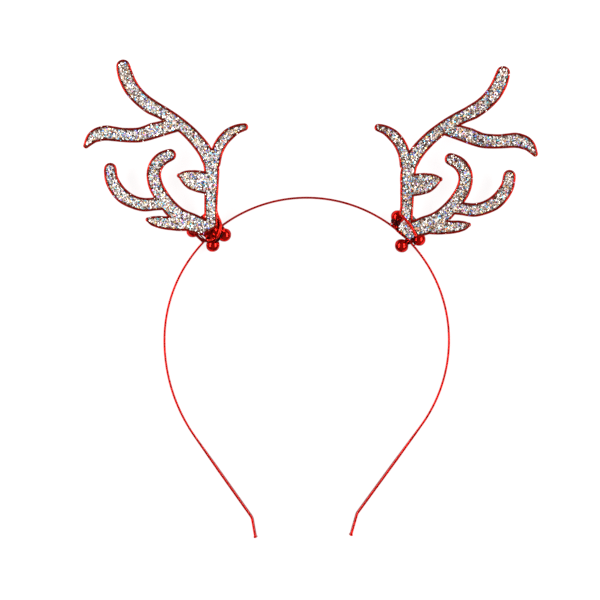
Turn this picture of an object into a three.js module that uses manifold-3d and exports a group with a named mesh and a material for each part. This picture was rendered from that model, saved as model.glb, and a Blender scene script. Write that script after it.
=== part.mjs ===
// Reindeer antler headband, lying on its back: the wearer's left and right are -X and +X,
// the crown of the band and the antlers point to +Y, and +Z is the face seen from the front.
// The model is in millimetres. While it is built, the origin is the centre of the crown's arc.
import * as THREE from 'three';
import { mergeVertices } from 'three/addons/utils/BufferGeometryUtils.js';
import Module from 'manifold-3d';

const wasm = await Module();
wasm.setup();

// Band: a steel strip standing on its edge
const CROWN_RADIUS = 62.9;
const TIP_BEND_RADIUS = 5;
const STRIP_THICKNESS = 0.9;
const STRIP_DEPTH = 5;

// Below the crown, each side of the band is bent by hand, so the two differ a little. The cheek
// is the arc that turns inwards, and the leg and the tip are straight. Turns are in degrees.
const LEGS = [
  { side: -1, cheekRadius: 73.8, cheekTurn: 36.6, length: 42.5, tipTurn: 25.3, tip: 7.6 },
  { side: 1, cheekRadius: 64.5, cheekTurn: 34.9, length: 46.9, tipTurn: 20.3, tip: 9 },
];

// Antler plates, with a recess for the glitter sheet
const ANTLER_HEIGHT = 76;
const TINE_WIDTH = 6;
const PLATE_THICKNESS = 1.6;
const RIM_WIDTH = 0.8;
const RECESS_DEPTH = 0.6;
const GLITTER_THICKNESS = 0.4;
const GLITTER_CLEARANCE = 0.15;
const FOOT_CUT_TURN = 12;

// Wraps: a folded strip with a web on the band's outer face and a flap under the antler's foot
const WRAP_THICKNESS = 1;
const WRAP_HEM = 1.3;
const FLAP_REACH = 9;

// Bells, each with a wire shank
const BELL_DIAMETER = 6.2;
const BELL_WALL = 0.5;
const BELL_SEAM = 0.12;
const SLOT_WIDTH = 0.7;
const SLOT_HEIGHT = 2;
const SHANK_WIRE = 0.55;
const SHANK_WIDTH = 2.05;
const SHANK_HOOK = 0.4;

// The glue line between two pieces, and how far a cut runs past the face it opens
const GAP = 0.3;
const CUT_PAST = 1;

// Heights: the band and the bells lie on the ground, the shanks cross the band's front edge,
// the wraps cover them and the antler plates lie on the wraps
const BAND_BOTTOM = 0;
const BAND_TOP = BAND_BOTTOM + STRIP_DEPTH;
const SHANK_HEIGHT = BAND_TOP + GAP + SHANK_WIRE / 2;
const FLAP_BOTTOM = SHANK_HEIGHT + SHANK_WIRE / 2 + GAP;
const FLAP_TOP = FLAP_BOTTOM + WRAP_THICKNESS;
const PLATE_BOTTOM = Math.max(FLAP_TOP, BELL_DIAMETER) + GAP;
const PLATE_TOP = PLATE_BOTTOM + PLATE_THICKNESS;
const BAND_OUTSIDE = STRIP_THICKNESS / 2;

// Seats: how far each antler stands from the crown's top, and how far it leans out, in degrees.
// slope is how much more its tines rise outwards than TINES says, as a share of out. foot is
// where its plate ends outside the band, and flap where the wrap's flap starts, both from the
// band's middle as shares of TINE_WIDTH. cut is how far the foot's end is turned from the
// band's direction, and from and to are the wrap's two ends along the band, all in degrees.
const SEATS = [
  {
    name: 'left', side: -1, angle: 43.6, lean: -0.5, slope: 0,
    foot: 0.27, cut: -11, flap: -0.43, from: -4.9, to: 2.5,
  },
  {
    name: 'right', side: 1, angle: 42.2, lean: 0.6, slope: 0.016,
    foot: 0.72, cut: -10, flap: 0.13, from: -4, to: 2.3,
  },
];

// Tines: stations along each one's middle. out and up are shares of ANTLER_HEIGHT from the
// seat, away from the head's middle and along the stem. wide is a share of TINE_WIDTH.
const TINES = {
  beam: [
    { out: -0.001, up: -0.02, wide: 0.97 },
    { out: 0.005, up: 0.17, wide: 0.98 },
    { out: 0.007, up: 0.376, wide: 1.14 },
    { out: 0.029, up: 0.444, wide: 1.11 },
    { out: 0.062, up: 0.5, wide: 1.09 },
    { out: 0.118, up: 0.564, wide: 1.05 },
    { out: 0.175, up: 0.615, wide: 1.01 },
    { out: 0.248, up: 0.666, wide: 1.02 },
    { out: 0.319, up: 0.706, wide: 1.05 },
    { out: 0.369, up: 0.731, wide: 1.15 },
    { out: 0.432, up: 0.776, wide: 1.14 },
    { out: 0.487, up: 0.836, wide: 1.17 },
    { out: 0.522, up: 0.903, wide: 1.16 },
    { out: 0.539, up: 0.959, wide: 1.04 },
  ],
  second: [
    { out: 0.211, up: 0.636, wide: 1.1 },
    { out: 0.285, up: 0.612, wide: 1.13 },
    { out: 0.357, up: 0.59, wide: 1.2 },
    { out: 0.434, up: 0.565, wide: 1.11 },
    { out: 0.533, up: 0.562, wide: 1.06 },
    { out: 0.625, up: 0.57, wide: 1.13 },
    { out: 0.682, up: 0.555, wide: 1.04 },
    { out: 0.713, up: 0.531, wide: 0.82 },
    { out: 0.74, up: 0.493, wide: 0.43 },
  ],
  brow: [
    { out: -0.005, up: 0.41, wide: 0.96 },
    { out: -0.02, up: 0.48, wide: 0.92 },
    { out: -0.049, up: 0.541, wide: 0.92 },
    { out: -0.089, up: 0.587, wide: 0.9 },
    { out: -0.134, up: 0.617, wide: 0.72 },
    { out: -0.175, up: 0.63, wide: 0.58 },
  ],
  leaf: [
    { out: 0.026, up: 0.296, wide: 1.62 },
    { out: 0.073, up: 0.305, wide: 1.64 },
    { out: 0.12, up: 0.315, wide: 1.49 },
    { out: 0.155, up: 0.327, wide: 1.13 },
    { out: 0.181, up: 0.334, wide: 0.69 },
    { out: 0.193, up: 0.336, wide: 0.38 },
  ],
  hook: [
    { out: 0.024, up: 0.037, wide: 1.18 },
    { out: 0.115, up: 0.066, wide: 1.41 },
    { out: 0.195, up: 0.108, wide: 1.24 },
    { out: 0.266, up: 0.178, wide: 1.12 },
    { out: 0.324, up: 0.265, wide: 1.1 },
    { out: 0.342, up: 0.342, wide: 1.07 },
    { out: 0.326, up: 0.398, wide: 1.08 },
    { out: 0.293, up: 0.434, wide: 1.03 },
    { out: 0.252, up: 0.454, wide: 0.92 },
  ],
  rear: [
    { out: 0.255, up: 0.174, wide: 0.97 },
    { out: 0.33, up: 0.167, wide: 0.97 },
    { out: 0.393, up: 0.161, wide: 1.01 },
    { out: 0.454, up: 0.174, wide: 1.0 },
    { out: 0.514, up: 0.205, wide: 1.07 },
    { out: 0.558, up: 0.252, wide: 1.06 },
    { out: 0.587, up: 0.307, wide: 1.0 },
    { out: 0.595, up: 0.361, wide: 0.94 },
  ],
  spur: [
    { out: 0.112, up: 0.061, wide: 1.14 },
    { out: 0.193, up: 0.06, wide: 1.16 },
    { out: 0.263, up: 0.059, wide: 1.0 },
    { out: 0.308, up: 0.064, wide: 0.9 },
    { out: 0.342, up: 0.069, wide: 0.71 },
    { out: 0.368, up: 0.075, wide: 0.35 },
  ],
};

// Bells: turn is in degrees along the band from the seat, towards the leg. off is the distance
// from the band's middle to the bell's, outwards, as a share of BELL_DIAMETER.
const BELLS = [
  { name: 'bell_left_1', seat: 'left', turn: -4.2, off: -0.63 },
  { name: 'bell_left_2', seat: 'left', turn: 2.4, off: -0.63 },
  { name: 'bell_left_3', seat: 'left', turn: 3.8, off: 1.1 },
  { name: 'bell_right_1', seat: 'right', turn: -7, off: 0.77 },
  { name: 'bell_right_2', seat: 'right', turn: 1.7, off: -0.61 },
  { name: 'bell_right_3', seat: 'right', turn: 4.5, off: 0.61 },
];

const RED_LACQUER = { color: 0xd81410, metalness: 0.7, roughness: 0.25 };
const SILVER_GLITTER = { color: 0xc9c6c4, metalness: 0.6, roughness: 0.45 };
const RED_STRIP = { color: 0x9c0a0c, metalness: 0.3, roughness: 0.5 };

const headbandSet = new THREE.Group();

function addPiece(name, geometry, finish) {
  const mesh = new THREE.Mesh(geometry, new THREE.MeshStandardMaterial(finish));
  mesh.name = name;
  headbandSet.add(mesh);
}

// A closed geometry as a solid that can be joined and cut
function toSolid(geometry) {
  const bare = geometry.clone();
  bare.deleteAttribute('normal');
  bare.deleteAttribute('uv');
  const merged = mergeVertices(bare, 1e-4);
  return new wasm.Manifold(new wasm.Mesh({
    numProp: 3,
    vertProperties: new Float32Array(merged.attributes.position.array),
    triVerts: new Uint32Array(merged.index.array),
  }));
}

function toGeometry(solid) {
  const mesh = solid.getMesh();
  const geometry = new THREE.BufferGeometry();
  geometry.setAttribute('position', new THREE.BufferAttribute(mesh.vertProperties, mesh.numProp));
  geometry.setIndex(new THREE.BufferAttribute(mesh.triVerts, 1));
  geometry.computeVertexNormals();
  return geometry;
}

// A flat outline raised from one height to another
function prism(points, bottom, top) {
  const shape = new THREE.Shape(points);
  const geometry = new THREE.ExtrudeGeometry(shape, { depth: top - bottom, bevelEnabled: false });
  return geometry.translate(0, 0, bottom);
}

// A point at a distance from the crown's centre. The angle runs from the top of the crown.
function polar(radius, angle) {
  return new THREE.Vector2(radius * Math.sin(angle), radius * Math.cos(angle));
}

// One edge of half of the band in plan, from the crown's top to a tip, at an offset outwards
// from the strip's middle
function bandEdge(leg, offset) {
  const cheekTurn = THREE.MathUtils.degToRad(leg.cheekTurn);
  const tipTurn = THREE.MathUtils.degToRad(leg.tipTurn);
  const crownSteps = 22;
  const cheekSteps = 8;
  const bendSteps = 6;
  const points = [];
  for (let i = 0; i <= crownSteps; i += 1) {
    points.push(polar(CROWN_RADIUS + offset, ((i + 0.5) / (crownSteps + 0.5)) * (Math.PI / 2)));
  }
  const cheekCentre = new THREE.Vector2(CROWN_RADIUS - leg.cheekRadius, 0);
  for (let i = 1; i <= cheekSteps; i += 1) {
    const turned = Math.PI / 2 + cheekTurn * (i / cheekSteps);
    points.push(polar(leg.cheekRadius + offset, turned).add(cheekCentre));
  }
  const legHeading = polar(-1, cheekTurn);
  const legEnd = polar(leg.cheekRadius, Math.PI / 2 + cheekTurn).add(cheekCentre)
    .addScaledVector(legHeading, leg.length);
  const bendCentre = legEnd.clone().add(polar(TIP_BEND_RADIUS, Math.PI / 2 + cheekTurn));
  for (let i = 0; i <= bendSteps; i += 1) {
    const turned = Math.PI / 2 + cheekTurn - tipTurn * (i / bendSteps);
    points.push(polar(offset - TIP_BEND_RADIUS, turned).add(bendCentre));
  }
  const tipHeading = polar(-1, cheekTurn - tipTurn);
  points.push(points[points.length - 1].clone().addScaledVector(tipHeading, leg.tip));
  return points.map((point) => new THREE.Vector2(point.x * leg.side, point.y));
}

function buildBand() {
  const [left, right] = LEGS;
  const plan = [
    ...bandEdge(left, BAND_OUTSIDE).reverse(), ...bandEdge(right, BAND_OUTSIDE),
    ...bandEdge(right, -BAND_OUTSIDE).reverse(), ...bandEdge(left, -BAND_OUTSIDE),
  ];
  addPiece('headband', prism(plan, BAND_BOTTOM, BAND_TOP), RED_LACQUER);
}

// A round-ended stroke along a line of { point, half } samples, narrowed by an inset
function strokeOutline(samples, inset) {
  const capSteps = 5;
  const thinnest = 0.12;
  const kept = samples.filter((sample) => sample.half - inset > thinnest);
  const left = [];
  const right = [];
  kept.forEach((sample, i) => {
    const before = kept[Math.max(i - 1, 0)].point;
    const after = kept[Math.min(i + 1, kept.length - 1)].point;
    const heading = after.clone().sub(before).normalize();
    const across = new THREE.Vector2(-heading.y, heading.x).multiplyScalar(sample.half - inset);
    left.push(sample.point.clone().add(across));
    right.push(sample.point.clone().sub(across));
  });
  const cap = (i, sign) => {
    const centre = kept[i].point;
    const start = (sign > 0 ? left[i] : right[i]).clone();
    const turns = [];
    for (let k = 1; k < capSteps; k += 1) {
      turns.push(start.clone().rotateAround(centre, -Math.PI * (k / capSteps)));
    }
    return turns;
  };
  const endCap = cap(kept.length - 1, 1);
  const startCap = cap(0, -1);
  return [...left, ...endCap, ...right.reverse(), ...startCap];
}

// Evenly spaced samples along a tine, in the plan of the whole object
function tineSamples(stations, seat) {
  const middle = polar(CROWN_RADIUS, THREE.MathUtils.degToRad(seat.angle));
  const lean = THREE.MathUtils.degToRad(-seat.lean);
  const places = stations.map(({ out, up }) => new THREE.Vector2(out, up + seat.slope * out)
    .multiplyScalar(ANTLER_HEIGHT).rotateAround(new THREE.Vector2(), lean).add(middle));
  const line = new THREE.SplineCurve(places);
  const perStation = 2;
  const steps = (stations.length - 1) * perStation;
  const samples = [];
  for (let i = 0; i <= steps; i += 1) {
    const along = i / perStation;
    const first = Math.min(Math.floor(along), stations.length - 2);
    const share = along - first;
    const wide = THREE.MathUtils.lerp(stations[first].wide, stations[first + 1].wide, share);
    const point = line.getPoint(i / steps);
    point.x *= seat.side;
    samples.push({ point, half: (wide * TINE_WIDTH) / 2 });
  }
  return samples;
}

// A place in plan at an angle from a seat and an offset from the band's middle
function placeBy(seat, turn, offset) {
  const point = polar(CROWN_RADIUS + offset, THREE.MathUtils.degToRad(seat.angle + turn));
  return new THREE.Vector2(point.x * seat.side, point.y);
}

// All tines of one antler joined, narrowed by an inset, and cut off at the foot
function antlerSolid(seat, inset, bottom, top) {
  let solid = null;
  for (const stations of Object.values(TINES)) {
    const outline = strokeOutline(tineSamples(stations, seat), inset);
    const tine = toSolid(prism(outline, bottom, top));
    solid = solid ? solid.add(tine) : tine;
  }
  const footRadius = CROWN_RADIUS + seat.foot * TINE_WIDTH + inset;
  const foot = placeBy(seat, 0, seat.foot * TINE_WIDTH);
  return solid.subtract(sector(
    footRadius - 2 * TINE_WIDTH, footRadius, seat, -FOOT_CUT_TURN, FOOT_CUT_TURN,
    bottom - CUT_PAST, top + CUT_PAST,
  ).translate([-foot.x, -foot.y, 0]).rotate([0, 0, seat.cut]).translate([foot.x, foot.y, 0]));
}

// A block that follows the crown's arc between two angles, in degrees from the seat
function sector(innerRadius, outerRadius, seat, from, to, bottom, top) {
  const degreesPerStep = 2;
  const steps = Math.ceil((to - from) / degreesPerStep);
  const inner = [];
  const outer = [];
  for (let i = 0; i <= steps; i += 1) {
    const turn = THREE.MathUtils.degToRad(seat.angle + from + ((to - from) * i) / steps);
    const place = (radius) => {
      const point = polar(radius, turn);
      return new THREE.Vector2(point.x * seat.side, point.y);
    };
    inner.push(place(innerRadius));
    outer.push(place(outerRadius));
  }
  return toSolid(prism([...inner, ...outer.reverse()], bottom, top));
}

function buildAntler(seat) {
  const recessFloor = PLATE_TOP - RECESS_DEPTH;
  const plate = antlerSolid(seat, 0, PLATE_BOTTOM, PLATE_TOP)
    .subtract(antlerSolid(seat, RIM_WIDTH, recessFloor, PLATE_TOP + CUT_PAST));
  addPiece(`antler_${seat.name}`, toGeometry(plate), RED_LACQUER);
  const sheet = antlerSolid(
    seat, RIM_WIDTH + GLITTER_CLEARANCE, recessFloor, recessFloor + GLITTER_THICKNESS,
  );
  addPiece(`glitter_${seat.name}`, toGeometry(sheet), SILVER_GLITTER);
}

// The web is glued to the band's outer face, and the flap lies under the antler's foot. The
// left flap also turns over the band, and a hem finishes its edge beside the stem.
function buildWrap(seat) {
  const webInside = CROWN_RADIUS + BAND_OUTSIDE + GAP;
  const flapInside = CROWN_RADIUS + seat.flap * TINE_WIDTH;
  const web = sector(
    webInside, webInside + WRAP_THICKNESS, seat, seat.from, seat.to, BAND_BOTTOM + GAP, FLAP_TOP,
  );
  const flap = sector(
    flapInside, CROWN_RADIUS + FLAP_REACH, seat, seat.from, seat.to, FLAP_BOTTOM, FLAP_TOP,
  );
  let wrap = web.add(flap);
  if (seat.flap < 0) {
    const hemTurn = THREE.MathUtils.radToDeg(WRAP_HEM / CROWN_RADIUS);
    wrap = wrap.add(sector(
      flapInside - WRAP_HEM / 2, CROWN_RADIUS + FLAP_REACH, seat,
      seat.from - hemTurn, seat.from + hemTurn, FLAP_BOTTOM, FLAP_TOP,
    ));
  }
  addPiece(`wrap_${seat.name}`, toGeometry(wrap), seat.flap < 0 ? RED_STRIP : SILVER_GLITTER);
}

// A hollow ball with a seam round its middle and cross slots at the pole away from the band.
// Its shank is a flat loop of wire that is glued on the band's front edge.
function buildBell(bell) {
  const seat = SEATS.find(({ name }) => name === bell.seat);
  const radius = BELL_DIAMETER / 2;
  const body = radius - BELL_SEAM;
  const arcSteps = 10;
  const sides = 12;
  const hollow = new THREE.SphereGeometry(body - BELL_WALL, 8, 5);
  const profile = [];
  for (let i = 0; i <= arcSteps; i += 1) {
    const turn = (Math.PI * i) / arcSteps;
    const arm = i === arcSteps / 2 ? radius : body * Math.sin(turn);
    profile.push(new THREE.Vector2(i % arcSteps === 0 ? 0 : arm, -body * Math.cos(turn)));
  }
  let shell = toSolid(new THREE.LatheGeometry(profile, sides)).subtract(toSolid(hollow));
  for (const turn of [Math.PI / 4, -Math.PI / 4]) {
    const slot = new THREE.BoxGeometry(BELL_DIAMETER, SLOT_HEIGHT + CUT_PAST, SLOT_WIDTH);
    slot.translate(0, (SLOT_HEIGHT - CUT_PAST) / 2 - radius, 0).rotateY(turn);
    shell = shell.subtract(toSolid(slot));
  }
  const offset = bell.off * BELL_DIAMETER;
  const rise = SHANK_HEIGHT - radius;
  const reach = Math.abs(offset) + SHANK_HOOK - SHANK_WIDTH / 2;
  const shank = toSolid(shankGeometry(reach));
  const tilted = toSolid(toGeometry(shell).rotateX(Math.asin(rise / body)));
  const whole = toGeometry(tilted.add(shank.translate([0, 0, rise])));
  const centre = placeBy(seat, bell.turn, offset);
  const heading = centre.angle() + (offset > 0 ? Math.PI : 0);
  whole.rotateZ(heading - Math.PI / 2).translate(centre.x, centre.y, radius);
  addPiece(bell.name, whole, RED_LACQUER);
}

// A loop of wire along +Y whose two legs start inside the bell's wall
function shankGeometry(reach) {
  const half = (SHANK_WIDTH - SHANK_WIRE) / 2;
  const start = SHANK_WIRE;
  const corner = (x, y) => new THREE.Vector3(x, y, 0);
  const path = new THREE.CurvePath();
  path.add(new THREE.LineCurve3(corner(-half, start), corner(-half, reach)));
  path.add(new THREE.QuadraticBezierCurve3(
    corner(-half, reach), corner(-half, reach + half), corner(0, reach + half),
  ));
  path.add(new THREE.QuadraticBezierCurve3(
    corner(0, reach + half), corner(half, reach + half), corner(half, reach),
  ));
  path.add(new THREE.LineCurve3(corner(half, reach), corner(half, start)));
  const section = new THREE.Shape();
  section.absarc(0, 0, SHANK_WIRE / 2, 0, Math.PI * 2);
  return new THREE.ExtrudeGeometry(section, {
    extrudePath: path, steps: 12, curveSegments: 3, bevelEnabled: false,
  });
}

buildBand();
SEATS.forEach(buildAntler);
SEATS.forEach(buildWrap);
BELLS.forEach(buildBell);

// The origin goes to the middle of the ground that the whole object covers
const extent = new THREE.Box3().setFromObject(headbandSet);
const middle = extent.getCenter(new THREE.Vector3());
headbandSet.position.set(-middle.x, -middle.y, -extent.min.z);
headbandSet.updateMatrixWorld(true);

export default headbandSet;
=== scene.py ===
import math
import random

import bmesh
import bpy
from mathutils import Matrix, Vector
from mathutils.geometry import interpolate_bezier
from mathutils.kdtree import KDTree


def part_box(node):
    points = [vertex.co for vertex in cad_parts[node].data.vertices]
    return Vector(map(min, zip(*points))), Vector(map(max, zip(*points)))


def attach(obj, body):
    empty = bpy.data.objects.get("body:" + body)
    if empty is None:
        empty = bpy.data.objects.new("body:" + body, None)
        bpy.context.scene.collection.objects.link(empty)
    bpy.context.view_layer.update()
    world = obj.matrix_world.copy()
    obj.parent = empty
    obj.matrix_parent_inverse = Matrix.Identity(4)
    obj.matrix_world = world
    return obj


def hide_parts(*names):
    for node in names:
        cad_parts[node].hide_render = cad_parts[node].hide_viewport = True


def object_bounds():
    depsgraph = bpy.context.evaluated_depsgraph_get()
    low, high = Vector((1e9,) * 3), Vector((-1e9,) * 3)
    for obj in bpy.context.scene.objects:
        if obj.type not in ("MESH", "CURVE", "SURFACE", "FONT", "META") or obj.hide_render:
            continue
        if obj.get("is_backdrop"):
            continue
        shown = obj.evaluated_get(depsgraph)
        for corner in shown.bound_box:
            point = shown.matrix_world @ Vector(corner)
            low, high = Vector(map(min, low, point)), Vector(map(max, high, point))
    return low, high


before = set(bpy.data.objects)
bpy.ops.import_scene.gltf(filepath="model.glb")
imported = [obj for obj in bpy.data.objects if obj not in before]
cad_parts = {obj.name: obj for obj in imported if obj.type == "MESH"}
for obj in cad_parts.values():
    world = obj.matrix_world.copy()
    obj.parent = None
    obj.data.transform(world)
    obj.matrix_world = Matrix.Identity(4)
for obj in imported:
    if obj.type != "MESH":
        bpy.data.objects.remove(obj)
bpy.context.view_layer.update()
MM = 0.001


# The camera
# It looks straight down on the headband through a long lens, and is turned a little on its
# axis, as in the photograph.
camera_roll = math.radians(1.3)
camera_height = 2.505
camera_left_of_band = 3.37 * MM
camera_below_crown = 45.75 * MM
top_slack = 0.01 * MM
band_low, band_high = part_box("headband")
crown_top = [
    vert.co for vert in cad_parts["headband"].data.vertices
    if band_high.y - vert.co.y < top_slack
]
band_middle = (min(p.x for p in crown_top) + max(p.x for p in crown_top)) / 2
camera_data = bpy.data.cameras.new("camera")
camera_data.sensor_width = 36
camera_data.lens = 339.5
camera = bpy.data.objects.new("camera", camera_data)
camera.location = (
    band_middle - camera_left_of_band, band_high.y - camera_below_crown, camera_height,
)
camera.rotation_euler = (0, 0, camera_roll)
bpy.context.scene.collection.objects.link(camera)
bpy.context.scene.camera = camera
bpy.context.scene.view_settings.view_transform = "Standard"


# The table and the light
# A matt white card table under two long softboxes, one at each side, so that the upright
# parts of the wire-thin rims shine and the parts that run across stay dark.
table_reach = 3
room_strength = 0.18


def linear(hex_colour):
    """An sRGB hex colour as linear red, green, blue and alpha."""
    parts = [int(hex_colour[i:i + 2], 16) / 255 for i in (1, 3, 5)]
    return [c / 12.92 if c <= 0.04045 else ((c + 0.055) / 1.055) ** 2.4 for c in parts] + [1]


def add_node(tree, kind, settings=None, **sockets):
    """Adds a node. Settings are its own properties, and sockets are values or links by name."""
    node = tree.nodes.new(kind)
    for name, value in (settings or {}).items():
        setattr(node, name, value)
    for name, value in sockets.items():
        socket = node.inputs[name.replace("_", " ")]
        if isinstance(value, bpy.types.NodeSocket):
            tree.links.new(value, socket)
        else:
            socket.default_value = value
    return node


def new_material(name):
    """An empty material and its node tree, with no nodes in it."""
    material = bpy.data.materials.new(name)
    material.use_nodes = True
    material.node_tree.nodes.clear()
    return material, material.node_tree


table_mesh = bpy.data.meshes.new("table")
shape = bmesh.new()
bmesh.ops.create_grid(shape, x_segments=4, y_segments=4, size=table_reach)
shape.to_mesh(table_mesh)
shape.free()
table = bpy.data.objects.new("table", table_mesh)
bpy.context.scene.collection.objects.link(table)

# Matt white card: it has no gloss, and a glow of its own stands for the light that a white room
# throws back, so that it stays plain and pale to its edges.
white_card, tree = new_material("white_card")
card = add_node(
    tree, "ShaderNodeBsdfPrincipled", Base_Color=linear("#6c6868"), Roughness=0.9,
    Emission_Color=linear("#ffffff"), Emission_Strength=0.92,
)
add_node(tree, "ShaderNodeOutputMaterial", Surface=card.outputs[0])
table_mesh.materials.append(white_card)
table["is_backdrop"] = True

for name, place, size, power in (
    ("softbox_left", (-1.1, 0.1, 1.0), (1.6, 0.4), 23),
    ("softbox_right", (1.1, 0.1, 1.0), (1.6, 0.4), 22),
):
    light_data = bpy.data.lights.new(name, "AREA")
    light_data.shape = "RECTANGLE"
    light_data.size, light_data.size_y = size
    light_data.energy = power
    light = bpy.data.objects.new(name, light_data)
    light.location = place
    light.rotation_euler = (-Vector(place)).to_track_quat("-Z", "Y").to_euler()
    bpy.context.scene.collection.objects.link(light)

room = bpy.data.worlds.new("room")
room.use_nodes = True
room.node_tree.nodes["Background"].inputs["Color"].default_value = linear("#ffffff")
room.node_tree.nodes["Background"].inputs["Strength"].default_value = room_strength
bpy.context.scene.world = room


# The band
# One strip of spring steel on edge, 0.9 by 5 mm, bent round the head and turned out at its
# two tips. It is dipped in a red metallic lacquer, which rounds its rolled edges.
strip_thickness = 0.9 * MM
strip_depth = band_high.z - band_low.z
strip_edge_round = 0.32 * MM
crown_radius = 62.9 * MM
tip_bend_radius = 5 * MM
crown_centre = Vector((band_middle, band_high.y - crown_radius - strip_thickness / 2, 0))
crown_steps, cheek_steps, tip_steps = 56, 22, 10
weld = 0.002 * MM
hard_edge = math.radians(38)


def set_piece(name, mesh, material, slot, *nodes):
    """Makes an object of a finished mesh, which rides on the part in place of its CAD nodes."""
    piece = bpy.data.objects.new(name, mesh)
    bpy.context.scene.collection.objects.link(piece)
    mesh.materials.append(material)
    mesh.shade_smooth()
    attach(piece, "root")
    if nodes:
        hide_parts(*nodes)
    return piece


def new_mesh(name, shape):
    """The finished shape as a mesh, with its faces turned outwards and its hard edges sharp."""
    bmesh.ops.remove_doubles(shape, verts=shape.verts, dist=weld)
    bmesh.ops.recalc_face_normals(shape, faces=shape.faces)
    for edge in shape.edges:
        if edge.is_manifold and edge.calc_face_angle() > hard_edge:
            edge.smooth = False
    mesh = bpy.data.meshes.new(name)
    shape.to_mesh(mesh)
    shape.free()
    return mesh


def polar(radius, turn):
    """A step in plan. The turn is in radians from the crown's top towards the right."""
    return Vector((radius * math.sin(turn), radius * math.cos(turn), 0))


def bend(shape, section, centre, turn, steps):
    """Sweeps the strip's section round a centre, and gives the section at the end."""
    return bmesh.ops.spin(
        shape, geom=section, cent=centre, axis=(0, 0, 1), angle=turn, steps=steps,
        use_merge=False, use_duplicate=False,
    )["geom_last"]


def run_straight(shape, section, way):
    """Draws the strip's section straight along, and gives the section at the end."""
    edges = [part for part in section if isinstance(part, bmesh.types.BMEdge)]
    drawn = bmesh.ops.extrude_edge_only(shape, edges=edges)["geom"]
    ends = [part for part in drawn if not isinstance(part, bmesh.types.BMFace)]
    verts = [part for part in ends if isinstance(part, bmesh.types.BMVert)]
    bmesh.ops.translate(shape, vec=way, verts=verts)
    return ends


def turn_section(shape, section, axis, turn, swell=1):
    """Turns the strip's section about an axis through its middle, and may swell it."""
    verts = [part for part in section if isinstance(part, bmesh.types.BMVert)]
    middle = sum((vert.co for vert in verts), Vector()) / len(verts)
    turned = Matrix.Rotation(turn, 3, Vector(axis).normalized())
    bmesh.ops.rotate(shape, cent=middle, matrix=turned, verts=verts)
    bmesh.ops.scale(shape, vec=(swell, swell, 1), space=Matrix.Translation(-middle), verts=verts)


# Each side was bent by hand: cheek radius, cheek turn, leg, tip turn and tip, in millimetres
# and degrees. The legs twist a few degrees outwards below the cheeks. A drop of lacquer
# thickens each tip, given by its steps in millimetres and how much each one swells the strip.
leg_twist = math.radians(5)
twisted_share = 0.4
twist_steps = 8
drop_start_mm = 0.6
lacquer_drop = ((0.25, 1.3), (0.4, 1.1), (0.3, 0.75), (0.1, 0.5))
band_shape = bmesh.new()
for side, cheek_mm, cheek_degrees, leg_mm, tip_degrees, tip_mm in (
    (-1, 73.8, 36.6, 42.5, 25.3, 7.6),
    (1, 64.5, 34.9, 46.9, 20.3, 9),
):
    cheek_radius = cheek_mm * MM
    cheek_turn = math.radians(cheek_degrees)
    tip_turn = math.radians(tip_degrees)
    shape = bmesh.new()
    bmesh.ops.create_grid(
        shape, x_segments=1, y_segments=1, size=0.5,
        matrix=Matrix.Translation((0, crown_radius, strip_depth / 2))
        @ Matrix.Rotation(math.pi / 2, 4, "Y")
        @ Matrix.Diagonal((strip_depth, strip_thickness, 1, 1)),
    )
    bmesh.ops.bevel(
        shape, geom=shape.verts[:], offset=strip_edge_round, affect="VERTICES", segments=4,
        profile=0.5, material=-1,
    )
    bmesh.ops.delete(shape, geom=shape.faces[:], context="FACES_ONLY")
    section = bend(
        shape, shape.verts[:] + shape.edges[:], (0, 0, 0), -math.pi / 2, crown_steps,
    )
    cheek_centre = Vector((crown_radius - cheek_radius, 0, 0))
    section = bend(shape, section, cheek_centre, -cheek_turn, cheek_steps)
    leg = leg_mm * MM
    for _ in range(twist_steps):
        section = run_straight(
            shape, section, polar(-twisted_share / twist_steps * leg, cheek_turn),
        )
        turn_section(shape, section, polar(1, cheek_turn), leg_twist / twist_steps)
    section = run_straight(shape, section, polar((twisted_share - 1) * leg, cheek_turn))
    turned = math.pi / 2 + cheek_turn
    leg_end = cheek_centre + polar(cheek_radius, turned) + polar(-leg, cheek_turn)
    tip_centre = leg_end + polar(tip_bend_radius, turned)
    section = bend(shape, section, tip_centre, tip_turn, tip_steps)
    straight_tip = polar((drop_start_mm - tip_mm) * MM, cheek_turn - tip_turn)
    section = run_straight(shape, section, straight_tip)
    for drop_mm, swell in lacquer_drop:
        section = run_straight(shape, section, polar(-drop_mm * MM, cheek_turn - tip_turn))
        turn_section(shape, section, (0, 0, 1), 0, swell)
    bmesh.ops.contextual_create(
        shape, geom=[part for part in section if isinstance(part, bmesh.types.BMEdge)],
    )
    bmesh.ops.transform(
        shape, verts=shape.verts,
        matrix=Matrix.Translation(crown_centre) @ Matrix.Diagonal((side, 1, 1, 1)),
    )
    half = bpy.data.meshes.new("half")
    shape.to_mesh(half)
    shape.free()
    band_shape.from_mesh(half)
    bpy.data.meshes.remove(half)


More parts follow.
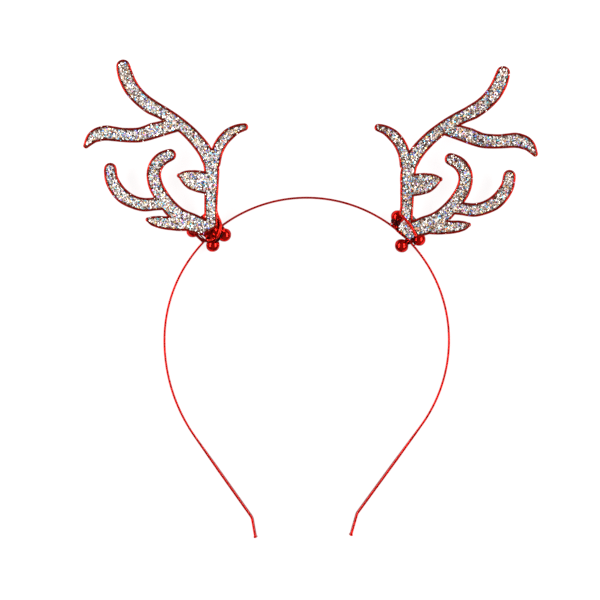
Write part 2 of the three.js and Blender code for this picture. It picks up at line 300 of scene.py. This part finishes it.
# Steel under a dipped metallic lacquer: a red mirror with slow waves in it, whose colour
# deepens where the coat is thick and pales to peach where the lamps burn out.
def red_lacquer(name, deep, bright, roughness, wave_mm, metal, coat):
    """A glossy red metallic finish whose depth of colour drifts over a few millimetres."""
    material, tree = new_material(name)
    place = add_node(tree, "ShaderNodeTexCoord")
    thick = add_node(
        tree, "ShaderNodeTexNoise", Vector=place.outputs["Object"], Scale=1 / (wave_mm * MM),
        Detail=3,
    )
    tint = add_node(tree, "ShaderNodeValToRGB", Fac=thick.outputs["Fac"])
    tint.color_ramp.elements[0].position = 0.35
    tint.color_ramp.elements[0].color = linear(deep)
    tint.color_ramp.elements[1].position = 0.65
    tint.color_ramp.elements[1].color = linear(bright)
    ripple = add_node(
        tree, "ShaderNodeBump", Strength=0.12, Distance=0.05 * MM, Height=thick.outputs["Fac"],
    )
    lacquer = add_node(
        tree, "ShaderNodeBsdfPrincipled", Base_Color=tint.outputs["Color"], Metallic=metal,
        Roughness=roughness, Normal=ripple.outputs["Normal"], Specular_Tint=linear("#8a0a06"),
        Coat_Weight=coat, Coat_Roughness=0.08, Coat_Tint=linear("#ffb0a0"),
    )
    add_node(tree, "ShaderNodeOutputMaterial", Surface=lacquer.outputs[0])
    return material


lacquered_steel = red_lacquer("lacquered_steel", "#c40a04", "#e4140a", 0.24, 8, 0.8, 0.12)
set_piece(
    "headband_strip", new_mesh("headband_strip", band_shape), lacquered_steel, "band_lacquer",
    "headband",
)


# The antlers
# Flat plates moulded in plastic and coated in the band's red metallic finish, each with a
# raised rim like a bright wire round a shallow recess for the glitter.
rim_width = 0.8 * MM
outline_step = 0.5 * MM
outline_corner = math.radians(50)
shortest_side = 0.12 * MM
curve_reach = 0.35
node_weld = 0.01 * MM
level_slack = 0.02 * MM
flat_facing = 0.9


def level_loops(node, height):
    """The outlines that a CAD node's walls draw at one height, as lists of places in plan."""
    shape = bmesh.new()
    shape.from_mesh(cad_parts[node].data)
    bmesh.ops.remove_doubles(shape, verts=shape.verts, dist=node_weld)
    walls = {}
    for edge in shape.edges:
        level = all(abs(vert.co.z - height) < level_slack for vert in edge.verts)
        flats = [abs(face.normal.z) > flat_facing for face in edge.link_faces]
        if level and True in flats and False in flats:
            walls[edge] = True
    loops = []
    while walls:
        edge = next(iter(walls))
        del walls[edge]
        first, vert = edge.verts
        loop = [first.co.copy()]
        while vert is not first:
            loop.append(vert.co.copy())
            edge = next((other for other in vert.link_edges if other in walls), None)
            if edge is None:
                break
            del walls[edge]
            vert = edge.other_vert(vert)
        loops.append(loop)
    shape.free()
    return sorted(loops, key=outline_area, reverse=True)


def outline_area(loop):
    """The area inside an outline."""
    return abs(sum(loop[i - 1].cross(loop[i]).z for i in range(len(loop)))) / 2


def smooth_outline(loop, step):
    """A finer outline through the same places, which stays sharp at its corners."""
    points = [p for i, p in enumerate(loop) if (p - loop[i - 1]).length > shortest_side]
    heads = []
    for i, point in enumerate(points):
        into = (point - points[i - 1]).normalized()
        out = (points[(i + 1) % len(points)] - point).normalized()
        sharp = into.angle(out, 0) > outline_corner
        blend = (into + out).normalized()
        heads.append((into, out) if sharp else (blend, blend))
    fine = []
    for i, point in enumerate(points):
        after = (i + 1) % len(points)
        length = (points[after] - point).length
        count = max(2, math.ceil(length / step) + 1)
        fine += interpolate_bezier(
            point, point + heads[i][1] * length * curve_reach,
            points[after] - heads[after][0] * length * curve_reach, points[after], count,
        )[:-1]
    return fine


def plate_from(outline, bottom, top):
    """A flat plate between two heights in a new shape, filled inside its outline."""
    shape = bmesh.new()
    verts = [shape.verts.new((p.x, p.y, bottom)) for p in outline]
    edges = [shape.edges.new((verts[i - 1], verts[i])) for i in range(len(verts))]
    filled = bmesh.ops.triangle_fill(shape, use_beauty=True, edges=edges)["geom"]
    faces = [part for part in filled if isinstance(part, bmesh.types.BMFace)]
    raised = bmesh.ops.extrude_face_region(shape, geom=faces, use_keep_orig=True)["geom"]
    bmesh.ops.translate(
        shape, vec=(0, 0, top - bottom),
        verts=[part for part in raised if isinstance(part, bmesh.types.BMVert)],
    )
    return shape


def wire_along(places, radius, closed, sides=3, swell=(1, 1)):
    """A round wire along a line of places, as a mesh. It may swell from one end to the other."""
    curve = bpy.data.curves.new("wire", "CURVE")
    curve.dimensions = "3D"
    curve.bevel_depth = radius
    curve.bevel_resolution = sides
    curve.use_fill_caps = True
    spline = curve.splines.new("POLY")
    spline.points.add(len(places) - 1)
    for i, (point, place) in enumerate(zip(spline.points, places)):
        point.co = (*place, 1)
        point.radius = swell[0] + (swell[1] - swell[0]) * i / (len(places) - 1)
    spline.use_cyclic_u = closed
    holder = bpy.data.objects.new("wire", curve)
    mesh = bpy.data.meshes.new_from_object(holder)
    bpy.data.objects.remove(holder)
    return mesh


# Plastic with a sputtered metal film under clear red lacquer: shorter, livelier waves than the
# steel's, nearly black where the rim runs across and bright where it runs upright.
coated_plastic = red_lacquer("coated_plastic", "#960e08", "#d82818", 0.24, 2.5, 0.8, 0.1)
for side in ("left", "right"):
    low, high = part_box(f"antler_{side}")
    sheet_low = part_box(f"glitter_{side}")[0]
    outline = smooth_outline(level_loops(f"antler_{side}", high.z)[0], outline_step)
    shape = plate_from(outline, low.z, sheet_low.z)
    rim_line = []
    for i, point in enumerate(outline):
        along = (outline[(i + 1) % len(outline)] - outline[i - 1]).normalized()
        inwards = Vector((-along.y, along.x, 0))
        rim_line.append(point + inwards * rim_width / 2)
    if outline_area(rim_line) > outline_area(outline):
        rim_line = [2 * point - line for point, line in zip(outline, rim_line)]
    rim_line = [Vector((p.x, p.y, high.z - rim_width / 2)) for p in rim_line]
    shape.from_mesh(wire_along(rim_line, rim_width / 2, True))
    set_piece(
        f"antler_plate_{side}", new_mesh(f"antler_plate_{side}", shape), coated_plastic,
        "antler_lacquer", f"antler_{side}",
    )


# The glitter
# A card sheet covered with cut holographic foil: hexagonal flakes up to 0.9 mm across that
# lie at all angles. Whether a flake flashes white, stays dark or shows a colour is painted
# into its own colour at random: painted highlights, painted dark reflections and painted
# coloured glints.
sheet_step = 0.6 * MM
edge_step = 0.3 * MM
flakes_per_sheet = 5600
strays_per_rim = 70
flake_thickness = 0.03 * MM
flake_tilt = 0.26
flake_lift = (0.02, 0.12)
handful_size = 50
ground_cell = 0.45 * MM


def glitter_foil(name, colour_source):
    """Metallised film, whose colour comes from each flake or from small cells of the ground."""
    material, tree = new_material(name)
    if colour_source == "flake":
        flake = add_node(tree, "ShaderNodeAttribute", {"attribute_name": "flake_colour"})
        colour = flake.outputs["Color"]
    else:
        place = add_node(tree, "ShaderNodeTexCoord")
        cells = add_node(
            tree, "ShaderNodeTexVoronoi", Vector=place.outputs["Object"], Scale=1 / ground_cell,
        )
        cell = add_node(tree, "ShaderNodeSeparateColor", Color=cells.outputs["Color"])
        colour = add_node(tree, "ShaderNodeValToRGB", Fac=cell.outputs["Red"])
        colour.color_ramp.interpolation = "CONSTANT"
        # The ground's cells are painted dark brown and grey: painted shade between the flakes.
        colour.color_ramp.elements[0].color = linear("#3c1610")
        colour.color_ramp.elements[1].position = 0.3
        colour.color_ramp.elements[1].color = linear("#74483c")
        colour.color_ramp.elements.new(0.65).color = linear("#b09e94")
        colour = colour.outputs["Color"]
    foil = add_node(
        tree, "ShaderNodeBsdfPrincipled", Base_Color=colour, Metallic=0.4, Roughness=0.3,
    )
    add_node(tree, "ShaderNodeOutputMaterial", Surface=foil.outputs[0])
    return material


# Holographic polyester flakes, mirror-bright. Each one's colour is painted light, drawn at
# random: white for a painted flash, near black and brown for a painted dark reflection, and
# cyan, blue, gold or pink for a painted glint of the ruling. Real ones are 0.2 to 0.4 mm
# across, and these are drawn twice as coarse, because finer ones blur to grey in the render.
flake_foil = glitter_foil("holographic_flake_foil", "flake")

# The card and glue between the flakes; their dull brown and grey specks are painted shade
# between the flakes and beside the rim.
glued_glitter = glitter_foil("glitter_ground_painted_shade", "cells")

# Each group's shares in the left and the right sheet, and its shades: painted flashes,
# painted dark reflections and painted coloured glints.
painted_flake_reflections = [
    ((0.98, 0.86), ("#ffffff", "#fff8ec", "#f8f2e8")),
    ((0.28, 0.3), ("#ccb8a6", "#ac9682")),
    ((0.78, 1.0), ("#5e3424", "#3c1c12", "#241008", "#7c5444")),
    ((0.17, 0.13), ("#6ce4ec", "#58c4f0")),
    ((0.13, 0.1), ("#4a9cf4", "#7080ec")),
    ((0.19, 0.15), ("#ffd880", "#ffb46c")),
    ((0.08, 0.07), ("#f498cc", "#bc8cf0")),
    ((0.05, 0.05), ("#e05a38", "#c83a28")),
]


# Painted highlight: along the lower left sides of the left sheet's upper tines the flakes are
# given far more of the white shades, a painted sheen where the lamps catch that side. The
# sheet itself stays flat.
lower_left = Vector((-1, -1, 0)).normalized()
highlight_band_width = 3 * MM
highlight_start_y = crown_centre.y + 74 * MM
highlight_white_weight = 6


def scatter_flakes(
    name, node, count, batch, seed, radius_mm=(0.27, 0.45), margin_mm=0, painted_highlight=False,
):
    """Glues hexagonal flakes of one batch's shades over a CAD node's top face."""
    chance = random.Random(seed)
    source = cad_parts[node].data
    source.calc_loop_triangles()
    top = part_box(node)[1].z
    spots = []
    for triangle in source.loop_triangles:
        corners = [source.vertices[i].co for i in triangle.vertices]
        if all(abs(corner.z - top) < level_slack for corner in corners) and triangle.area > 0:
            spots.append((corners, triangle.area))
    edge_points = smooth_outline(level_loops(node, top)[0], edge_step)
    edge_tree = KDTree(len(edge_points))
    for i, point in enumerate(edge_points):
        edge_tree.insert(point, i)
    edge_tree.balance()
    places = []
    white_shares = []
    while len(places) < count:
        corners = chance.choices(spots, weights=[area for _, area in spots])[0][0]
        u, v = sorted((chance.random(), chance.random()))
        place = corners[0] * u + corners[1] * (v - u) + corners[2] * (1 - v)
        edge_point, _, gap = edge_tree.find(place)
        if gap >= margin_mm * MM:
            places.append(place)
            # Painted highlight: flakes near the lower left edge of the left sheet's upper tines
            # draw the white shades far more often.
            in_painted_highlight = painted_highlight and place.y > highlight_start_y and gap < highlight_band_width
            faces_left = (edge_point - place).dot(lower_left) > 0.6 * gap
            white_shares.append(highlight_white_weight if in_painted_highlight and faces_left else 1)
    shape = bmesh.new()
    handful = bmesh.new()
    colours = []
    for place, white_share in zip(places, white_shares):
        tilt = Matrix.Rotation(chance.gauss(0, flake_tilt), 4, "X")
        tilt = tilt @ Matrix.Rotation(chance.gauss(0, flake_tilt), 4, "Y")
        radius = chance.uniform(*radius_mm) * MM
        bmesh.ops.create_cone(
            handful, cap_ends=True, cap_tris=False, segments=6, radius1=radius, radius2=radius,
            depth=flake_thickness,
            matrix=Matrix.Translation(place + Vector((0, 0, chance.uniform(*flake_lift) * MM)))
            @ tilt @ Matrix.Rotation(chance.uniform(0, math.tau), 4, "Z"),
        )
        weights = [shares[batch] for shares, _ in painted_flake_reflections]
        weights[0] *= white_share
        shades = chance.choices(painted_flake_reflections, weights=weights)[0][1]
        colours.append(linear(chance.choice(shades)))
        if len(colours) % handful_size == 0 or len(colours) == count:
            mesh = bpy.data.meshes.new(name)
            handful.to_mesh(mesh)
            handful.clear()
            shape.from_mesh(mesh)
            bpy.data.meshes.remove(mesh)
    mesh = bpy.data.meshes.new(name)
    shape.to_mesh(mesh)
    shape.free()
    handful.free()
    per_flake = len(mesh.loops) // count
    tint = mesh.color_attributes.new("flake_colour", "FLOAT_COLOR", "CORNER")
    tint.data.foreach_set("color", [c for colour in colours for c in colour * per_flake])
    set_piece(name, mesh, flake_foil, "silver_glitter")
    mesh.shade_flat()


for batch, side in enumerate(("left", "right")):
    low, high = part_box(f"glitter_{side}")
    outline = smooth_outline(level_loops(f"glitter_{side}", high.z)[0], sheet_step)
    sheet = new_mesh(f"glitter_sheet_{side}", plate_from(outline, low.z, high.z))
    set_piece(
        f"glitter_sheet_{side}", sheet, glued_glitter, "silver_glitter", f"glitter_{side}",
    )
    scatter_flakes(
        f"glitter_flakes_{side}", f"glitter_{side}", flakes_per_sheet, batch, 11 + batch,
        margin_mm=0.36, painted_highlight=side == "left",
    )
    scatter_flakes(
        f"stray_flakes_{side}", f"antler_{side}", strays_per_rim, batch, 31 + batch,
        radius_mm=(0.16, 0.28), margin_mm=0.28,
    )


# The wraps
# Strips folded under each antler's foot and glued to the band: on the left crumpled red foil
# bound with wire, and on the right glitter card between a rolled foil edge and the foot.
fold_edge = 0.6
crumple_width = 1.6 * MM
crumple_depth = 0.6 * MM
shade_width = 1.1 * MM
flakes_on_wrap = 560


def dressed_copy(node, round_mm):
    """A CAD node's merged copy with its edges rounded."""
    shape = bmesh.new()
    shape.from_mesh(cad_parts[node].data)
    bmesh.ops.remove_doubles(shape, verts=shape.verts, dist=node_weld)
    bmesh.ops.dissolve_limit(
        shape, angle_limit=math.radians(1), use_dissolve_boundaries=False,
        verts=shape.verts, edges=shape.edges,
    )
    joined = [edge for edge in shape.edges if edge.is_manifold]
    hard = [edge for edge in joined if edge.calc_face_angle() > fold_edge]
    bmesh.ops.bevel(
        shape, geom=hard, offset=round_mm * MM, affect="EDGES", segments=3, profile=0.5,
        material=-1, clamp_overlap=True,
    )
    return shape


# Ribbon of metallised film, crumpled by hand: sharp facets a millimetre or so wide. Over
# them its colour is painted in soft patches from almost black to bright red, painted shade
# and painted flashes that do not follow the facets.
foil_ribbon, tree = new_material("crumpled_red_foil_ribbon")
place = add_node(tree, "ShaderNodeTexCoord")
facets = add_node(
    tree, "ShaderNodeTexVoronoi", {"feature": "SMOOTH_F1"}, Vector=place.outputs["Object"],
    Scale=1 / crumple_width, Smoothness=0.15,
)
painted_shade_noise = add_node(
    tree, "ShaderNodeTexNoise", Vector=place.outputs["Object"], Scale=1 / shade_width, Detail=4,
)
shade = add_node(tree, "ShaderNodeValToRGB", Fac=painted_shade_noise.outputs["Fac"])
shade.color_ramp.elements[0].position = 0.4
shade.color_ramp.elements[0].color = linear("#3c0403")
shade.color_ramp.elements[1].position = 0.62
shade.color_ramp.elements[1].color = linear("#c41810")
crease = add_node(
    tree, "ShaderNodeBump", Strength=1.0, Distance=crumple_depth,
    Height=facets.outputs["Distance"],
)
film = add_node(
    tree, "ShaderNodeBsdfPrincipled", Base_Color=shade.outputs["Color"], Metallic=0.9,
    Roughness=0.2, Specular_Tint=linear("#a00c06"), Normal=crease.outputs["Normal"],
)
add_node(tree, "ShaderNodeOutputMaterial", Surface=film.outputs[0])
set_piece(
    "wrap_left_ribbon", new_mesh("wrap_left_ribbon", dressed_copy("wrap_left", 0.25)),
    foil_ribbon, "wrap_strip", "wrap_left",
)
set_piece(
    "wrap_right_card", new_mesh("wrap_right_card", dressed_copy("wrap_right", 0.2)),
    glued_glitter, "silver_glitter", "wrap_right",
)
scatter_flakes("wrap_right_flakes", "wrap_right", flakes_on_wrap, 1, 5)


def smooth_line(places_mm):
    """A finer line through places given in millimetres from the crown's centre."""
    points = [crown_centre + Vector(place) * MM for place in places_mm]
    heads = [
        (points[min(i + 1, len(points) - 1)] - points[max(i - 1, 0)]) / 6
        for i in range(len(points))
    ]
    fine = []
    for i in range(len(points) - 1):
        fine += interpolate_bezier(
            points[i], points[i] + heads[i], points[i + 1] - heads[i + 1], points[i + 1], 7,
        )[:-1]
    return fine + points[-1:]


# Soft iron wire dipped in the band's lacquer: the brightest red of all, with one long gleam.
binding_finish = red_lacquer(
    "lacquered_binding_wire", "#b0100a", "#f02a18", 0.22, 2, 0.55, 0.15,
)

# The same wire, in its loops by the band: a deep wine red between the bright parts, a shaded
# copy of the wire's finish with its shade painted in.
shaded_binding_wire = red_lacquer(
    "lacquered_binding_wire_painted_shade", "#500504", "#900e08", 0.25, 2, 0.6, 0.15,
)

# Painted shadow: near-black film laid in the hollows beside the wraps and bells, where only
# shade falls; its colour is painted shade.
painted_shadow = red_lacquer("near_black_painted_shadow", "#140101", "#480403", 0.3, 2, 0.6, 0.05)

# The trims over the wraps: thickness in millimetres, swell from end to end, and places in
# millimetres from the crown's centre.
for name, material, slot, thickness_mm, swell, places_mm in (
    ("left_binding", binding_finish, "wrap_strip", 1.5, (0.5, 1.1), (
        (-41.22, 57.54, 8.6), (-40.9, 55.56, 8.7), (-40.15, 53.36, 8.6),
        (-39.37, 51.53, 8.2), (-39.02, 49.6, 7.9), (-39.37, 47.29, 7.75),
        (-40.2, 45.16, 7.2), (-40.68, 44.02, 5.9),
    )),
    ("left_loop_outer", shaded_binding_wire, "wrap_strip", 1.15, (1, 1), (
        (-49.69, 45.40, 5.6), (-47.97, 43.81, 5.6), (-45.83, 42.71, 5.7),
        (-43.97, 42.97, 6.2),
    )),
    ("left_loop_inner", shaded_binding_wire, "wrap_strip", 0.9, (1, 1), (
        (-48.83, 46.48, 5.6), (-46.68, 45.38, 5.8), (-44.61, 44.01, 6.3),
    )),
    ("left_knot", binding_finish, "wrap_strip", 1.5, (0.8, 1.1), (
        (-45.36, 44.17, 6.3), (-44.23, 43.13, 6.6), (-43.00, 43.34, 6.6),
        (-42.14, 44.33, 6.3),
    )),
    ("left_fold", foil_ribbon, "wrap_strip", 1.8, (1, 0.9), (
        (-43.02, 42.6, 5.9), (-41.5, 43.5, 6.1), (-39.79, 44.8, 6.2),
    )),
    # The next four pieces are painted shadows: near-black shapes laid where shade falls in the
    # hollows.
    ("left_painted_shadow", painted_shadow, "wrap_strip", 1.9, (0.7, 1), (
        (-38.41, 46.98, 6.0), (-38.99, 45.46, 6.4), (-39.92, 43.94, 6.4),
        (-40.97, 42.95, 6.0),
    )),
    ("right_painted_shadow", painted_shadow, "wrap_strip", 2.4, (0.7, 1), (
        (36.55, 53.64, 5.4), (37.60, 53.29, 6.4), (38.59, 52.69, 6.6),
        (39.50, 51.84, 6.0),
    )),
    ("right_inner_painted_shadow", painted_shadow, "wrap_strip", 1.5, (0.8, 0.9), (
        (42.58, 45.56, 4.5), (43.48, 44.79, 4.8), (44.03, 44.10, 4.8),
        (44.31, 43.57, 4.5),
    )),
    ("right_outer_painted_shadow", painted_shadow, "wrap_strip", 1.6, (0.8, 0.9), (
        (45.22, 45.89, 4.8), (46.03, 45.10, 5.2), (46.66, 44.32, 5.2),
        (47.22, 43.54, 4.8),
    )),
    ("right_rolled_edge", foil_ribbon, "wrap_strip", 1.5, (1.7, 0.9), (
        (38.50, 53.77, 5.2), (37.64, 52.25, 5.5), (39.02, 49.81, 5.5),
        (41.55, 47.52, 5.5), (43.80, 45.72, 5.5), (45.78, 44.04, 5.3),
    )),
    ("right_turned_foot", binding_finish, "antler_lacquer", 1.3, (1, 0.9), (
        (40.60, 55.98, 8.5), (41.77, 54.68, 8.65), (44.76, 51.40, 8.65),
        (47.42, 46.78, 8.5),
    )),
):
    shape = bmesh.new()
    shape.from_mesh(wire_along(smooth_line(places_mm), thickness_mm / 2 * MM, False, 4, swell))
    set_piece(name, new_mesh(name, shape), material, slot)


# The bells
# Small jingle bells pressed from two steel cups that meet at a seam, with cross slots at the
# far pole and a bent wire shank, all dipped in the same red lacquer.
bell_radius = 3.1 * MM
seam_height = 0.12 * MM
cup_steps = 32
cup_wall = 0.35 * MM
cross_slot = Vector((bell_radius * 1.3, 3 * MM, 0.7 * MM))
slot_middle = 0.5 * MM - bell_radius
shank_wire = 0.55 * MM
shank_width = 2.05 * MM
shank_steps = 12
shank_over_band = 0.4 * MM
glue_gap = 0.3 * MM

# Pressed steel under the same lacquer, on a tighter curve: red beads with a narrow peach streak
# from each lamp and deep red between the streaks.
lacquered_bell = red_lacquer("lacquered_bell_steel", "#a00804", "#fc1c0e", 0.15, 2.5, 0.9, 0.15)
bell_seats = {
    "bell_left_1": (-39.4, -0.63),
    "bell_left_2": (-46.0, -0.63),
    "bell_left_3": (-47.4, 1.1),
    "bell_right_1": (35.2, 0.77),
    "bell_right_2": (43.9, -0.61),
    "bell_right_3": (46.7, 0.61),
}
for name, (turn, off) in bell_seats.items():
    body = bell_radius - seam_height
    offset = off * 2 * bell_radius
    shape = bmesh.new()
    profile = []
    for i in range(cup_steps + 1):
        angle = math.pi * i / cup_steps
        on_seam = abs(i - cup_steps / 2) < 1.5
        girth = body + seam_height if on_seam else body
        place = (girth * math.sin(angle), -body * math.cos(angle), 0)
        profile.append(shape.verts.new(place))
    strands = [shape.edges.new(profile[i:i + 2]) for i in range(cup_steps)]
    bmesh.ops.spin(
        shape, geom=profile + strands, cent=(0, 0, 0), axis=(0, 1, 0), angle=math.tau, steps=48,
        use_merge=True, use_duplicate=False,
    )
    bmesh.ops.remove_doubles(shape, verts=shape.verts, dist=0.005 * MM)
    bmesh.ops.recalc_face_normals(shape, faces=shape.faces)
    ball = bpy.data.objects.new("ball", bpy.data.meshes.new("ball"))
    shape.to_mesh(ball.data)
    shape.free()
    cutter = bmesh.new()
    for slot_turn in (math.pi / 4, -math.pi / 4):
        bmesh.ops.create_cube(
            cutter, size=1, matrix=Matrix.Rotation(slot_turn, 4, "Y")
            @ Matrix.Translation((0, slot_middle, 0)) @ Matrix.Diagonal((*cross_slot, 1)),
        )
    slots = bpy.data.objects.new("slots", bpy.data.meshes.new("slots"))
    cutter.to_mesh(slots.data)
    cutter.free()
    bpy.context.scene.collection.objects.link(ball)
    bpy.context.scene.collection.objects.link(slots)
    wall = ball.modifiers.new("wall", "SOLIDIFY")
    wall.thickness = cup_wall
    wall.offset = -1
    cross = ball.modifiers.new("cross", "BOOLEAN")
    cross.object = slots
    cross.solver = "EXACT"
    cross.use_self = True
    pressed = bpy.data.meshes.new_from_object(
        ball.evaluated_get(bpy.context.evaluated_depsgraph_get())
    )
    bpy.data.objects.remove(ball)
    bpy.data.objects.remove(slots)
    rise = strip_depth + glue_gap + shank_wire / 2 - bell_radius
    hold_at = -math.copysign(shank_over_band, offset)
    reach = abs(offset - hold_at) - shank_width / 2
    half = (shank_width - shank_wire) / 2
    pressed.transform(Matrix.Rotation(math.asin(rise / body), 4, "X"))
    loop = [Vector((-half, shank_wire, rise))]
    for i in range(shank_steps + 1):
        angle = math.pi * i / shank_steps
        loop.append(Vector((-half * math.cos(angle), reach + half * math.sin(angle), rise)))
    loop.append(Vector((half, shank_wire, rise)))
    shape = bmesh.new()
    shape.from_mesh(pressed)
    shape.from_mesh(wire_along(loop, shank_wire / 2, False))
    centre = crown_centre + polar(crown_radius + offset, math.radians(turn))
    heading = math.atan2(centre.y - crown_centre.y, centre.x - crown_centre.x)
    if offset > 0:
        heading += math.pi
    bmesh.ops.transform(
        shape, verts=shape.verts,
        matrix=Matrix.Translation(centre + Vector((0, 0, bell_radius)))
        @ Matrix.Rotation(heading - math.pi / 2, 4, "Z"),
    )
    pressed_bell = new_mesh(f"{name}_pressed", shape)
    set_piece(f"{name}_pressed", pressed_bell, lacquered_bell, "bell_lacquer", name)

low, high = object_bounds()
